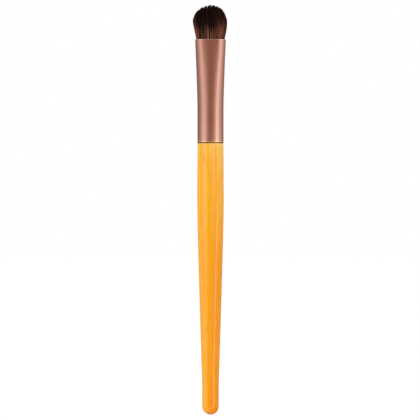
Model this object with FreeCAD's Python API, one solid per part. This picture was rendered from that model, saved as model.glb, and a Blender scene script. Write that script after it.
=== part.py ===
"""Eyeshadow brush: a turned bamboo handle, a pressed metal ferrule and a glued-in tuft of filaments.

Lengths are millimetres and angles are degrees. The brush stands along +Z with its tuft at the top.
The origin is the tip of the rounded tail, and the wide side of the oval ferrule mouth lies along X.
"""

import FreeCAD
import Part

import math
import os

# Handle, turned from one bamboo rod
HANDLE_LENGTH = 99.5  # tail tip to the shoulder that the ferrule sits on
TAIL_RADIUS = 3.03  # of the round tail and of the straight seat above it
TAIL_SEAT_LENGTH = 8.0  # straight stretch that drops into a brush stand
BELLY_RADIUS = 4.86  # where the handle is thickest
BELLY_BELOW_FERRULE = 21.5  # from that place up to the shoulder
FLANK_BLEND = 10.0  # how far below the belly the straight flank starts to turn
NECK_BLEND = 4.0  # how far above the belly the handle starts to narrow again
NECK_STEP = 0.05  # how much thinner the neck is than the ferrule
SHOULDER_ROUND = 0.2
TENON_LENGTH = 12.0  # peg inside the ferrule
TENON_CHAMFER = 0.6

# Ferrule, a round tube that is pressed oval towards its mouth
FERRULE_LENGTH = 37.85
BARREL_RADIUS = 4.785  # outside of the round stretch
BARREL_PAST_TENON = 1.0  # how far the round stretch goes on above the tenon
FERRULE_WALL = 0.4
MOUTH_SPREAD = 0.86  # how far the pressing pushes each side of the mouth out
MOUTH_FACE_RADIUS = 14.0  # of the mouth's flattened front and back
MOUTH_STRETCH = 0.03  # how much the pressing adds to the tube's way round, as a share
PRESS_POWER = 1.3  # how gently the pressing starts
MOUTH_RIM_ROUND = 0.15
LOWER_RIM_ROUND = 0.2

# Adhesive
HANDLE_GLUE_FILM = 0.1  # between the tenon and the ferrule
PLUG_GAP = 0.5  # air between the tenon's end and the plug
PLUG_BELOW_ROOTS = 2.0

# Binding thread round the roots
THREAD_DIAMETER = 0.35
THREAD_TURNS = 4
THREAD_PITCH = 0.8
THREAD_TO_PLUG = 0.2  # below the lowest turn
THREAD_TO_ROOTS = 0.02
THREAD_TO_FERRULE = 0.6  # round the barrel's bore

# Filaments: bound roots inside the ferrule, free tuft outside
ROOT_DEPTH_IN_PLUG = 4.0
ROOT_CLEARANCE = 0.1  # to the ferrule, at the mouth
ROOT_TOP_DEPTH = 0.6  # of the roots' top below the mouth
TUFT_WIDEST_HEIGHT = 6.3  # above the mouth
TUFT_DOME_HEIGHT = 6.35  # above the widest place
TUFT_FLARE_WIDTH = 0.96  # growth of the half-width from the mouth to the widest place
TUFT_FLARE_DEPTH = 0.75  # growth of the half-depth
FLEX_AXIS_HEIGHT = 1.0  # of the line that the tuft bends about, above the mouth
FLEX_CLEARANCE = 0.2  # between the free tuft and the roots below it

# How finely the curved forms are drawn
PRESS_SECTIONS = 7
FIRST_PRESS = 0.01  # share of the pressing at which the round tube's arcs are parted
FLARE_SECTIONS = 4
GAP_SAMPLES_PER_TURN = 36

# Rounded edges take no more than these shares of the wall or step that they are on
BOTH_EDGES_SHARE = 0.45
ONE_EDGE_SHARE = 0.8

# Places that follow from the sizes above
FERRULE_LOW = HANDLE_LENGTH
FERRULE_TOP = FERRULE_LOW + FERRULE_LENGTH
TENON_TOP = FERRULE_LOW + TENON_LENGTH
BARREL_LENGTH = TENON_LENGTH + BARREL_PAST_TENON
PRESS_LOW = FERRULE_LOW + BARREL_LENGTH
PLUG_LOW = TENON_TOP + PLUG_GAP
ROOT_LOW = PLUG_LOW + PLUG_BELOW_ROOTS
PLUG_TOP = ROOT_LOW + ROOT_DEPTH_IN_PLUG
THREAD_LOW = PLUG_TOP + THREAD_TO_PLUG + THREAD_DIAMETER / 2
ROOT_BOUND_TOP = THREAD_LOW + THREAD_TURNS * THREAD_PITCH + THREAD_DIAMETER
ROOT_TOP = FERRULE_TOP - ROOT_TOP_DEPTH
FLEX_AXIS_Z = FERRULE_TOP + FLEX_AXIS_HEIGHT
TUFT_WIDEST_Z = FERRULE_TOP + TUFT_WIDEST_HEIGHT
NECK_RADIUS = BARREL_RADIUS - NECK_STEP
BORE_RADIUS = BARREL_RADIUS - FERRULE_WALL
TENON_RADIUS = BORE_RADIUS - HANDLE_GLUE_FILM
THREAD_RADIUS = BORE_RADIUS - THREAD_TO_FERRULE - THREAD_DIAMETER / 2
ROOT_RADIUS = THREAD_RADIUS - THREAD_DIAMETER / 2 - THREAD_TO_ROOTS

UP = FreeCAD.Vector(0, 0, 1)
ORIGIN = FreeCAD.Vector(0, 0, 0)
ON_PLANE = 1e-4  # how near a rim's edge lies to its plane
RADIUS_ACCURACY = 1e-9  # to which the radius of the mouth's sides is worked out
QUARTER_TURN = math.pi / 2


def profile_point(radius, height):
    """A point of a turned outline, in the XZ plane."""
    return FreeCAD.Vector(radius, 0, height)


def line(start, end):
    """A straight edge."""
    return Part.LineSegment(start, end).toShape()


def bezier(*poles):
    """A curved edge with these control points."""
    curve = Part.BezierCurve()
    curve.setPoles(list(poles))
    return curve.toShape()


def quarter_round(start, end, corner):
    """A quarter circle from start to end, inside the corner where their tangents meet."""
    centre = start + end - corner
    middle = centre + (corner - centre) * math.sqrt(0.5)
    return Part.Arc(start, middle, end).toShape()


def turned(edges):
    """The solid that a closed outline in the XZ plane sweeps about the Z axis."""
    return Part.Face(Part.Wire(edges)).revolve(ORIGIN, UP, 360)


def slab(low, high, reach):
    """A square block between two heights, wide enough to cut a piece of that reach."""
    return Part.makeBox(2 * reach, 2 * reach, high - low, FreeCAD.Vector(-reach, -reach, low))


def oval_wire(half_width, half_depth, height):
    """A level ellipse, or a circle where both halves are equal."""
    centre = FreeCAD.Vector(0, 0, height)
    if math.isclose(half_width, half_depth):
        return Part.Wire(Part.Circle(centre, UP, half_width).toShape())
    along_x = FreeCAD.Vector(half_width, 0, height)
    along_y = FreeCAD.Vector(0, half_depth, height)
    long_and_short = (along_x, along_y) if half_width > half_depth else (along_y, along_x)
    return Part.Wire(Part.Ellipse(*long_and_short, centre).toShape())


def half_ellipsoid(half_width, half_depth, reach, height):
    """The half of an ellipsoid that reaches up from a level ellipse, or down where reach is negative."""
    low, high = (0, 90) if reach > 0 else (-90, 0)
    unit = Part.makeSphere(1, ORIGIN, UP, low, high, 360)
    stretch = FreeCAD.Matrix()
    stretch.scale(half_width, half_depth, abs(reach))
    stretch.move(FreeCAD.Vector(0, 0, height))
    return unit.transformGeometry(stretch)


def face_angle(half_width, face_radius, side_radius):
    """The angle, from the middle of a flattened face, at which its arc turns into a side's arc."""
    return math.asin((half_width - side_radius) / (face_radius - side_radius))


def pressed_length(half_width, face_radius, side_radius):
    """The way round an oval of two face arcs and two side arcs."""
    angle = face_angle(half_width, face_radius, side_radius)
    return 4 * (face_radius * angle + side_radius * (QUARTER_TURN - angle))


def pressed_side_radius(half_width, face_radius, length):
    """The radius of the sides that gives the tube this way round."""
    low, high = 0.0, half_width
    while high - low > RADIUS_ACCURACY:
        middle = (low + high) / 2
        if pressed_length(half_width, face_radius, middle) < length:
            low = middle
        else:
            high = middle
    return (low + high) / 2


def pressed_arcs(share):
    """The tube's half-width, face radius, side radius and face angle, at a share of its pressed stretch."""
    press = share**PRESS_POWER
    half_width = BARREL_RADIUS + MOUTH_SPREAD * press
    face_radius = 1 / ((1 - press) / BARREL_RADIUS + press / MOUTH_FACE_RADIUS)
    length = 2 * math.pi * BARREL_RADIUS * (1 + MOUTH_STRETCH * press)
    side_radius = pressed_side_radius(half_width, face_radius, length)
    return half_width, face_radius, side_radius, face_angle(half_width, face_radius, side_radius)


def pressed_half_depth(face_radius, side_radius, angle):
    """The half-depth that these arcs give the tube."""
    return face_radius - (face_radius - side_radius) * math.cos(angle)


def mouth_oval(inset):
    """Half-width and half-depth of the mouth, less an inset."""
    half_width, *arcs = pressed_arcs(1)
    return half_width - inset, pressed_half_depth(*arcs) - inset


def pressed_wire(share, inset, height):
    """The tube's level outline, drawn in by an inset: two side arcs and two face arcs that share tangents."""
    half_width, face_radius, side_radius, angle = pressed_arcs(share or FIRST_PRESS)
    if not share:
        half_width = face_radius = side_radius = BARREL_RADIUS
    joint_x = half_width - side_radius + (side_radius - inset) * math.sin(angle)
    joint_y = (side_radius - inset) * math.cos(angle)
    right_back, left_back, left_front, right_front = (
        FreeCAD.Vector(x * joint_x, y * joint_y, height) for x, y in ((1, 1), (-1, 1), (-1, -1), (1, -1))
    )
    centre = FreeCAD.Vector(0, 0, height)
    to_side = FreeCAD.Vector(half_width - inset, 0, 0)
    to_back = FreeCAD.Vector(0, pressed_half_depth(face_radius, side_radius, angle) - inset, 0)
    return Part.Wire([
        Part.Arc(right_front, centre + to_side, right_back).toShape(),
        Part.Arc(right_back, centre + to_back, left_back).toShape(),
        Part.Arc(left_back, centre - to_side, left_front).toShape(),
        Part.Arc(left_front, centre - to_back, right_front).toShape(),
    ])


def ferrule_form(inset):
    """The ferrule's outside, drawn in by an inset: the round barrel and the pressed stretch above it."""
    barrel = Part.makeCylinder(BARREL_RADIUS - inset, BARREL_LENGTH, FreeCAD.Vector(0, 0, FERRULE_LOW))
    sections = []
    for step in range(PRESS_SECTIONS):
        share = step / (PRESS_SECTIONS - 1)
        sections.append(pressed_wire(share, inset, PRESS_LOW + share * (FERRULE_TOP - PRESS_LOW)))
    return barrel.fuse(Part.makeLoft(sections, True, False))


def rim_edges(solid, height):
    """The edges of a tube's rim at one height, outermost first."""
    level = [edge for edge in solid.Edges if edge.BoundBox.ZLength < ON_PLANE]
    rim = [edge for edge in level if abs(edge.BoundBox.ZMin - height) < ON_PLANE]
    return sorted(rim, key=lambda edge: -edge.BoundBox.XMax)


def make_handle():
    """Round tail, straight seat, swelling flank, belly, neck, shoulder and tenon."""
    shoulder_round = min(SHOULDER_ROUND, ONE_EDGE_SHARE * (NECK_RADIUS - TENON_RADIUS))
    belly_height = HANDLE_LENGTH - BELLY_BELOW_FERRULE
    tip = profile_point(0, 0)
    seat_low = profile_point(TAIL_RADIUS, TAIL_RADIUS)
    seat_top = profile_point(TAIL_RADIUS, TAIL_RADIUS + TAIL_SEAT_LENGTH)
    flank_turn = profile_point(BELLY_RADIUS, belly_height - FLANK_BLEND)
    belly = profile_point(BELLY_RADIUS, belly_height)
    neck_turn = profile_point(BELLY_RADIUS, belly_height + NECK_BLEND)
    neck = profile_point(NECK_RADIUS, HANDLE_LENGTH - shoulder_round)
    shoulder_corner = profile_point(NECK_RADIUS, HANDLE_LENGTH)
    shoulder = profile_point(NECK_RADIUS - shoulder_round, HANDLE_LENGTH)
    tenon_root = profile_point(TENON_RADIUS, HANDLE_LENGTH)
    tenon_edge = profile_point(TENON_RADIUS, TENON_TOP - TENON_CHAMFER)
    tenon_end = profile_point(TENON_RADIUS - TENON_CHAMFER, TENON_TOP)
    axis_end = profile_point(0, TENON_TOP)
    return turned([
        quarter_round(tip, seat_low, profile_point(TAIL_RADIUS, 0)),
        line(seat_low, seat_top),
        bezier(seat_top, flank_turn, belly),
        bezier(belly, neck_turn, neck),
        quarter_round(neck, shoulder, shoulder_corner),
        line(shoulder, tenon_root),
        line(tenon_root, tenon_edge),
        line(tenon_edge, tenon_end),
        line(tenon_end, axis_end),
        line(axis_end, tip),
    ])


def make_ferrule():
    """Thin tube with rounded rims, round at the handle and oval at the mouth."""
    mouth_round = min(MOUTH_RIM_ROUND, BOTH_EDGES_SHARE * FERRULE_WALL)
    lower_round = min(LOWER_RIM_ROUND, ONE_EDGE_SHARE * FERRULE_WALL)
    tube = ferrule_form(0).cut(ferrule_form(FERRULE_WALL))
    tube = tube.makeFillet(mouth_round, rim_edges(tube, FERRULE_TOP))
    return tube.makeFillet(lower_round, rim_edges(tube, FERRULE_LOW)[:1])


def make_handle_glue():
    """Cured film that fills the gap between the tenon and the ferrule."""
    low = FreeCAD.Vector(0, 0, FERRULE_LOW)
    length = TENON_LENGTH - TENON_CHAMFER
    return Part.makeCylinder(BORE_RADIUS, length, low).cut(Part.makeCylinder(TENON_RADIUS, length, low))


def root_blank():
    """The bound bundle before its top is dished: round where it is bound, then spreading to an oval."""
    bound = Part.makeCylinder(ROOT_RADIUS, ROOT_BOUND_TOP - ROOT_LOW, FreeCAD.Vector(0, 0, ROOT_LOW))
    low = oval_wire(ROOT_RADIUS, ROOT_RADIUS, ROOT_BOUND_TOP)
    high = oval_wire(*mouth_oval(FERRULE_WALL + ROOT_CLEARANCE), ROOT_TOP)
    return bound.fuse(Part.makeLoft([low, high], True, True))


def make_root_glue_plug():
    """Cast plug that fills the ferrule below the roots and grips their ends."""
    space = ferrule_form(FERRULE_WALL).common(slab(PLUG_LOW, PLUG_TOP, 2 * BARREL_RADIUS))
    return space.cut(root_blank())


def make_filament_roots():
    """Bound bundle inside the ferrule, dished at the top where the free tuft bends."""
    half_width, half_depth = mouth_oval(FERRULE_WALL - FLEX_CLEARANCE)
    return root_blank().cut(half_ellipsoid(half_width, half_depth, -half_depth, FLEX_AXIS_Z))


def make_bristle_tuft():
    """Free tuft: a keel that turns about the flex axis, a flared side and a domed top."""
    half_width, half_depth = mouth_oval(FERRULE_WALL)
    widest = (half_width + TUFT_FLARE_WIDTH, half_depth + TUFT_FLARE_DEPTH)
    keel = half_ellipsoid(half_width, half_depth, -half_depth, FLEX_AXIS_Z)
    sections = []
    for step in range(FLARE_SECTIONS):
        share = step / (FLARE_SECTIONS - 1)
        flare = math.sin(share * QUARTER_TURN)
        height = FLEX_AXIS_Z + share * (TUFT_WIDEST_Z - FLEX_AXIS_Z)
        sections.append(
            oval_wire(half_width + flare * TUFT_FLARE_WIDTH, half_depth + flare * TUFT_FLARE_DEPTH, height)
        )
    side = Part.makeLoft(sections, True, False)
    dome = half_ellipsoid(*widest, TUFT_DOME_HEIGHT, TUFT_WIDEST_Z)
    return keel.fuse(side).fuse(dome).removeSplitter()


def thread_point(angle):
    """A point of the thread's centreline, at an angle in radians from its start."""
    height = THREAD_LOW + THREAD_PITCH * angle / (2 * math.pi)
    return FreeCAD.Vector(THREAD_RADIUS * math.cos(angle), THREAD_RADIUS * math.sin(angle), height)


def thread_heading(angle):
    """The direction of the thread's centreline there, of length 1."""
    rise = THREAD_PITCH / (2 * math.pi)
    heading = FreeCAD.Vector(-THREAD_RADIUS * math.sin(angle), THREAD_RADIUS * math.cos(angle), rise)
    return heading.normalize()


def tangent_arc(start, corner, end):
    """The arc from start to end whose tangents meet at the corner, which is as far from both."""
    chord_middle = (start + end) * 0.5
    half_turn = (corner - start).getAngle(end - start)
    bulge = math.tan(half_turn / 2) / math.tan(half_turn)
    return Part.Arc(start, chord_middle + (corner - chord_middle) * bulge, end).toShape()


def biarc(start, heading, end, end_heading):
    """Two arcs that leave start and reach end along these headings and share a tangent between."""
    span = end - start
    headings = heading + end_heading
    turn = 1 - heading.dot(end_heading)
    along = span.dot(headings)
    reach = (math.sqrt(along**2 + 2 * turn * span.dot(span)) - along) / (2 * turn)
    first_corner = start + heading * reach
    second_corner = end - end_heading * reach
    middle = (first_corner + second_corner) * 0.5
    return [tangent_arc(start, first_corner, middle), tangent_arc(middle, second_corner, end)]


def make_binding_thread():
    """Thread wound round the roots just above the plug, as one unbroken tube."""
    edges = []
    for quarter in range(4 * THREAD_TURNS):
        start = quarter * QUARTER_TURN
        end = start + QUARTER_TURN
        edges += biarc(thread_point(start), thread_heading(start), thread_point(end), thread_heading(end))
    section = Part.Circle(thread_point(0), thread_heading(0), THREAD_DIAMETER / 2)
    return Part.Wire(edges).makePipeShell([Part.Wire(section.toShape())], True, False)


def thread_gap():
    """The least gap between two turns of the thread, measured on points along its centreline."""
    step = 2 * math.pi / GAP_SAMPLES_PER_TURN
    points = [thread_point(n * step) for n in range(THREAD_TURNS * GAP_SAMPLES_PER_TURN + 1)]
    half_turn = GAP_SAMPLES_PER_TURN // 2
    apart = [a.distanceToPoint(b) for n, a in enumerate(points) for b in points[n + half_turn :]]
    return min(apart) - THREAD_DIAMETER


PIECES = {
    "handle": make_handle,
    "ferrule": make_ferrule,
    "handle_glue": make_handle_glue,
    "root_glue_plug": make_root_glue_plug,
    "filament_roots": make_filament_roots,
    "binding_thread": make_binding_thread,
    "bristle_tuft": make_bristle_tuft,
}


def main():
    """Builds each piece, reports it and writes its file."""
    os.makedirs("parts", exist_ok=True)
    print(f"least gap between turns of the thread: {thread_gap():.2f} mm")
    for name, make in PIECES.items():
        shape = make()
        print(f"{name}: {len(shape.Solids)} solid, valid {shape.isValid()}, {shape.Volume:.2f} cubic mm")
        shape.exportStep(f"parts/{name}.step")


main()
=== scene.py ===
"""Looks of an eyeshadow brush: finishes for its rigid pieces, and its tuft built filament by filament.

All sizes are in metres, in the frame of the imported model: Z runs from the tail to the tuft, X across the wide
side of the oval mouth, and the camera looks along +Y.
"""

import logging
import math
from collections.abc import Mapping, Sequence
from dataclasses import dataclass, field, replace
from enum import Enum

import bpy
import numpy as np
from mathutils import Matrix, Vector


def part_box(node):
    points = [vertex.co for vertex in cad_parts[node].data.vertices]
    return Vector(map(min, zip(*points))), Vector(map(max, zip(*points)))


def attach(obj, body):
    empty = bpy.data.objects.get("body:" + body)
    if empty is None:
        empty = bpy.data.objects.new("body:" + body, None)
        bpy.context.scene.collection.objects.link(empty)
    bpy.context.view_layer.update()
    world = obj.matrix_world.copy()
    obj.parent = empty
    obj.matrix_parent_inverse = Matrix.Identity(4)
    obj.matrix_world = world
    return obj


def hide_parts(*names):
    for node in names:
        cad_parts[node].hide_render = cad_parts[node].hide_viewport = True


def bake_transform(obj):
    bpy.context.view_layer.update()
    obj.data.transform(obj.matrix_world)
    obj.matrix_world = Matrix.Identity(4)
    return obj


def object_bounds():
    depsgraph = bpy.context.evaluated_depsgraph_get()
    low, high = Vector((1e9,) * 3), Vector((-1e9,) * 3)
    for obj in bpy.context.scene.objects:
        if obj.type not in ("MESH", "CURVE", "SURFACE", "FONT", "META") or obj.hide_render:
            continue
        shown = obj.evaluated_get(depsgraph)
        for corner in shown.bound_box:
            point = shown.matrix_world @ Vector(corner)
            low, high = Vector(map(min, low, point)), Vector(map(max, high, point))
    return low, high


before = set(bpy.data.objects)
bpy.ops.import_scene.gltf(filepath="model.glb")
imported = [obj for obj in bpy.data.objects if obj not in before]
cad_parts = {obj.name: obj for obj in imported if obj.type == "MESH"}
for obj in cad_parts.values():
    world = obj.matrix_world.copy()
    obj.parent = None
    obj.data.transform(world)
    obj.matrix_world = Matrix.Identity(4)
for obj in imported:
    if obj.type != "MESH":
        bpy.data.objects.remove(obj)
CAD_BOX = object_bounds()

LOG = logging.getLogger("eyeshadow_brush")
MM = 0.001
TINY = 1e-9
TURN = 2 * math.pi
GOLDEN_ANGLE = math.pi * (3.0 - math.sqrt(5.0))
MOUTH_SLAB = 0.8 * MM
BAKE_MAP = "OFBake"

Colour = tuple[float, float, float, float]
Tones = tuple[tuple[float, str], ...]
Pair = tuple[float, float]
SocketValue = "Quantity | bpy.types.NodeSocket | float | Sequence[float]"


class Arithmetic(Enum):
    """The Math node operations that expressions use."""

    PLUS = "ADD"
    MINUS = "SUBTRACT"
    TIMES = "MULTIPLY"
    OVER = "DIVIDE"


class Body(Enum):
    """The two bodies of the brush."""

    HANDLE = "handle_body"
    TUFT = "tuft"


class Slot(Enum):
    """The material slots that new pieces take their finish from."""

    FILAMENT = "filament"


def paint(code: str) -> Colour:
    """Turns a screen colour into the linear colour that shaders use.

    Args:
        code: Six hexadecimal digits, red first.

    Returns:
        Red, green and blue, and an alpha of 1.
    """
    shares = [int(code[place : place + 2], 16) / 255 for place in (0, 2, 4)]
    linear = [s / 12.92 if s <= 0.04045 else ((s + 0.055) / 1.055) ** 2.4 for s in shares]
    return (linear[0], linear[1], linear[2], 1.0)


class Quantity:
    """A number that changes over a surface: a socket on which Python's operators add Math nodes."""

    def __init__(self, tree: "ShaderTree", socket: bpy.types.NodeSocket) -> None:
        """Keeps the socket and the tree that it belongs to."""
        self.tree = tree
        self.socket = socket

    def _math(self, operation: Arithmetic, first: SocketValue, second: SocketValue) -> "Quantity":
        """Adds one Math node.

        Args:
            operation: What the node does.
            first: The left side.
            second: The right side.

        Returns:
            The node's result.
        """
        node = self.tree.add("ShaderNodeMath", {"operation": operation.value}, {0: first, 1: second})
        return Quantity(self.tree, node.outputs[0])

    def __add__(self, other: SocketValue) -> "Quantity":
        """Self plus other."""
        return self._math(Arithmetic.PLUS, self, other)

    def __radd__(self, other: SocketValue) -> "Quantity":
        """Other plus self."""
        return self._math(Arithmetic.PLUS, other, self)

    def __sub__(self, other: SocketValue) -> "Quantity":
        """Self less other."""
        return self._math(Arithmetic.MINUS, self, other)

    def __rsub__(self, other: SocketValue) -> "Quantity":
        """Other less self."""
        return self._math(Arithmetic.MINUS, other, self)

    def __mul__(self, other: SocketValue) -> "Quantity":
        """Self times other."""
        return self._math(Arithmetic.TIMES, self, other)

    def __rmul__(self, other: SocketValue) -> "Quantity":
        """Other times self."""
        return self._math(Arithmetic.TIMES, other, self)

    def __truediv__(self, other: SocketValue) -> "Quantity":
        """Self divided by other."""
        return self._math(Arithmetic.OVER, self, other)

    def __rtruediv__(self, other: SocketValue) -> "Quantity":
        """Other divided by self."""
        return self._math(Arithmetic.OVER, other, self)


class ShaderTree:
    """A node tree, with one way of adding nodes and short names for those that the finishes share."""

    def __init__(self, tree: bpy.types.NodeTree) -> None:
        """Empties the tree and keeps it."""
        self.tree = tree
        self.tree.nodes.clear()

    def add(
        self,
        kind: str,
        settings: Mapping[str, object] | None = None,
        sockets: Mapping[str | int, SocketValue] | None = None,
    ) -> bpy.types.Node:
        """Adds any node.

        Args:
            kind: The node's type.
            settings: Its properties, set first; "stops" are a colour ramp's places and colours.
            sockets: Values or links for its input sockets, by name or number.

        Returns:
            The new node.
        """
        node = self.tree.nodes.new(kind)
        for name, value in (settings or {}).items():
            if name == "stops":
                self._set_stops(node.color_ramp, value)
            else:
                setattr(node, name, value)
        for key, value in (sockets or {}).items():
            self._feed(node.inputs[key], value)
        return node

    def _set_stops(self, ramp: bpy.types.ColorRamp, stops: Sequence[tuple[float, Colour]]) -> None:
        """Gives a colour ramp its stops.

        Args:
            ramp: The ramp of a new node.
            stops: Places from 0 to 1 with their colours, in order.
        """
        ramp.elements.remove(ramp.elements[1])
        ramp.elements[0].position, ramp.elements[0].color = stops[0]
        for place, colour in stops[1:]:
            ramp.elements.new(place).color = colour

    def _feed(self, socket: bpy.types.NodeSocket, value: SocketValue) -> None:
        """Links a socket, or sets its value.

        Args:
            socket: The input socket.
            value: A quantity or output socket to link, or a plain value.
        """
        if isinstance(value, Quantity):
            self.tree.links.new(value.socket, socket)
        elif isinstance(value, bpy.types.NodeSocket):
            self.tree.links.new(value, socket)
        else:
            socket.default_value = value

    def place(self) -> bpy.types.NodeSocket:
        """The point of the surface in the frame of the model."""
        return self.add("ShaderNodeTexCoord").outputs["Object"]

    def parts_of(self, vector: bpy.types.NodeSocket) -> list[Quantity]:
        """Splits a vector into its x, y and z."""
        node = self.add("ShaderNodeSeparateXYZ", sockets={0: vector})
        return [Quantity(self, output) for output in node.outputs]

    def carried(self, name: str) -> Quantity:
        """Reads a number that the mesh carries at its points."""
        node = self.add("ShaderNodeAttribute", {"attribute_name": name})
        return Quantity(self, node.outputs["Fac"])

    def streaks(self, across: float, along: float, detail: float = 2.0) -> Quantity:
        """Makes noise that is drawn out along the brush.

        Args:
            across: The streaks' width.
            along: Their length.
            detail: How many finer layers they have.

        Returns:
            A value from 0 to 1, about 0.5 on average.
        """
        scale = (1 / across, 1 / across, 1 / along)
        drawn = self.add("ShaderNodeVectorMath", {"operation": "MULTIPLY"}, {0: self.place(), 1: scale})
        noise = self.add(
            "ShaderNodeTexNoise", sockets={"Vector": drawn.outputs[0], "Scale": 1.0, "Detail": detail}
        )
        return Quantity(self, noise.outputs[0])

    def step(self, value: SocketValue, low: float, high: float) -> Quantity:
        """Makes a smooth step.

        Args:
            value: What is compared.
            low: Where the step starts, at 0.
            high: Where it ends, at 1.

        Returns:
            A value from 0 to 1.
        """
        node = self.add(
            "ShaderNodeMapRange", {"interpolation_type": "SMOOTHSTEP"}, {0: value, 1: low, 2: high}
        )
        return Quantity(self, node.outputs[0])

    def ramp(self, value: SocketValue, stops: Tones) -> bpy.types.NodeSocket:
        """Colours a value.

        Args:
            value: The place on the ramp, from 0 to 1.
            stops: Places with their screen colours, in order.

        Returns:
            The colour.
        """
        colours = [(place, paint(code)) for place, code in stops]
        return self.add("ShaderNodeValToRGB", {"stops": colours}, {0: value}).outputs[0]

    def mix(self, share: SocketValue, first: SocketValue, second: SocketValue) -> bpy.types.NodeSocket:
        """Mixes two colours.

        Args:
            share: How much of the second colour there is, from 0 to 1.
            first: The first colour.
            second: The second colour.

        Returns:
            The mixed colour.
        """
        node = self.add("ShaderNodeMix", {"data_type": "RGBA"}, {0: share, 6: first, 7: second})
        return node.outputs[2]

    def bump(self, height: SocketValue, depth: float) -> bpy.types.NodeSocket:
        """Makes a relief.

        Args:
            height: The relief's height, from 0 to 1.
            depth: How deep it is.

        Returns:
            The normal.
        """
        node = self.add("ShaderNodeBump", sockets={"Height": height, "Distance": depth})
        return node.outputs[0]

    def seen(self) -> Quantity:
        """Tells the rays that show the background, straight or in gloss or glass, from other light.

        Returns:
            1 for those rays, and 0 for the others.
        """
        kinds = self.add("ShaderNodeLightPath").outputs
        camera, glossy, passing = (
            Quantity(self, kinds[name]) for name in ("Is Camera Ray", "Is Glossy Ray", "Is Transmission Ray")
        )
        return camera + glossy + passing


class MaterialTree(ShaderTree):
    """The node tree of a new material."""

    def __init__(self, name: str) -> None:
        """Makes the material.

        Args:
            name: The material's name.
        """
        self.material = bpy.data.materials.new(name)
        self.material.use_nodes = True
        super().__init__(self.material.node_tree)

    def close(self, shader: bpy.types.Node) -> bpy.types.Material:
        """Makes a shader the material's surface.

        Args:
            shader: The last shader node.

        Returns:
            The finished material.
        """
        self.add("ShaderNodeOutputMaterial", sockets={"Surface": shader.outputs[0]})
        return self.material


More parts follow.
